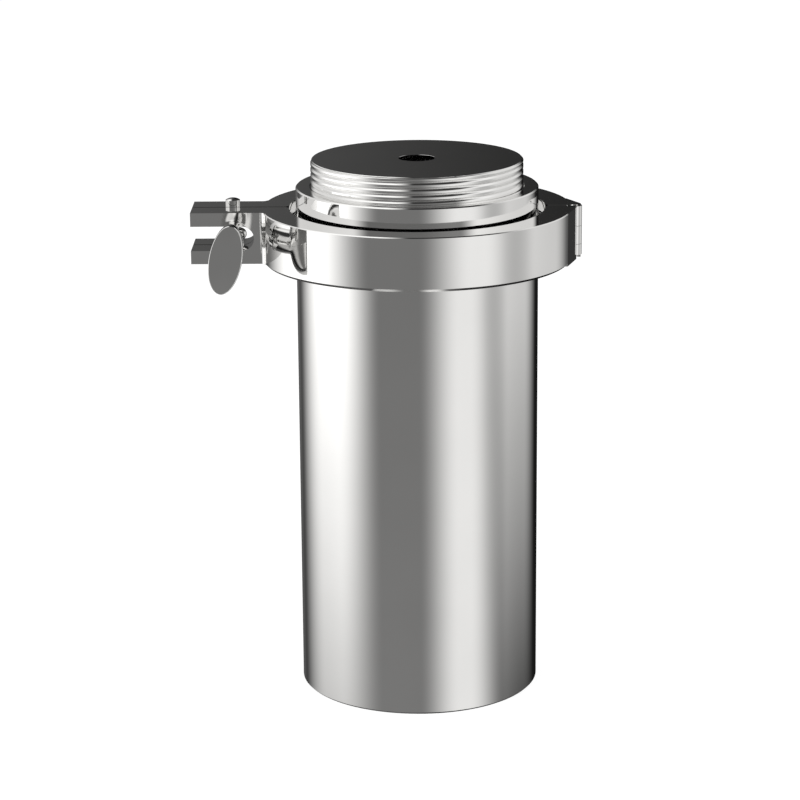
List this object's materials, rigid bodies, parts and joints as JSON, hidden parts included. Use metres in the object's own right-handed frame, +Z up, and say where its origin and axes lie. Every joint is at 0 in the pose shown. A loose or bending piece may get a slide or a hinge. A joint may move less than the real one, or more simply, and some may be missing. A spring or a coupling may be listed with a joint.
{
  "type": "hydrothermal reactor",
  "caption": "Steel cylindrical pressure vessel with a fluoropolymer liner, a compression screw in a head ring, and a hinged V-clamp tightened by a swing bolt with an oval knob.",
  "frame": {"origin": "centre of the vessel's flat underside, at the mouth of the eject hole", "axes": "+Z up along the vessel's axis; the clamp's lugs stand out towards -X and its hinge is at +X; the knob's oval face looks towards -Y"},
  "size_m": [0.1286, 0.1024, 0.1795],
  "materials": {
    "polished_steel": "polished stainless steel",
    "turned_steel": "fine turned stainless steel",
    "ptfe": "machined white fluoropolymer"
  },
  "bodies": {
    "base": {"vessel": "polished_steel", "bottom_pad": "turned_steel", "liner_cup": "ptfe", "liner_lid": "ptfe", "flange_gasket": "ptfe", "head_ring": "polished_steel", "clamp_rear_half": "polished_steel", "hinge_pin": "turned_steel", "swing_pin": "turned_steel"},
    "plate": {"pressure_plate": "turned_steel", "plate_snap_ring": "turned_steel"},
    "screw": {"compression_screw": "polished_steel"},
    "clamp_front": {"clamp_front_half": "polished_steel"},
    "bolt": {"swing_bolt": "turned_steel"},
    "washer": {"bolt_washer": "turned_steel"},
    "knob": {"clamp_knob": "polished_steel"}
  },
  "joints": [
    {"name": "plate_lift", "type": "slide", "parent": "base", "child": "plate", "axis": [0, 0, 1], "range_m": [0, 0.007]},
    {"name": "screw_turn", "type": "hinge", "parent": "plate", "child": "screw", "pos_m": [0, 0, 0.17], "axis": [0, 0, 1], "range_deg": [0, 1260]},
    {"name": "clamp_open", "type": "hinge", "parent": "base", "child": "clamp_front", "pos_m": [0.0519, 0, 0.15465], "axis": [0, 0, 1], "range_deg": [0, 3.2]},
    {"name": "bolt_swing", "type": "hinge", "parent": "base", "child": "bolt", "pos_m": [-0.061, 0.0038, 0.15365], "axis": [0, 0, -1], "range_deg": [0, 70]},
    {"name": "washer_slide", "type": "slide", "parent": "bolt", "child": "washer", "axis": [0, -1, 0], "range_m": [0, 0.018]},
    {"name": "knob_turn", "type": "hinge", "parent": "washer", "child": "knob", "pos_m": [-0.061, -0.02, 0.15365], "axis": [0, -1, 0], "range_deg": [0, 8100]}
  ],
  "couplings": [
    {"joint": "plate_lift", "follows": "screw_turn", "m_per_rad": 0.00031831},
    {"joint": "washer_slide", "follows": "knob_turn", "m_per_rad": 0.00012732},
    {"joint": "bolt_swing", "follows": "knob_turn", "ratio": 0.008642},
    {"joint": "clamp_open", "follows": "knob_turn", "ratio": 0.00039506}
  ]
}
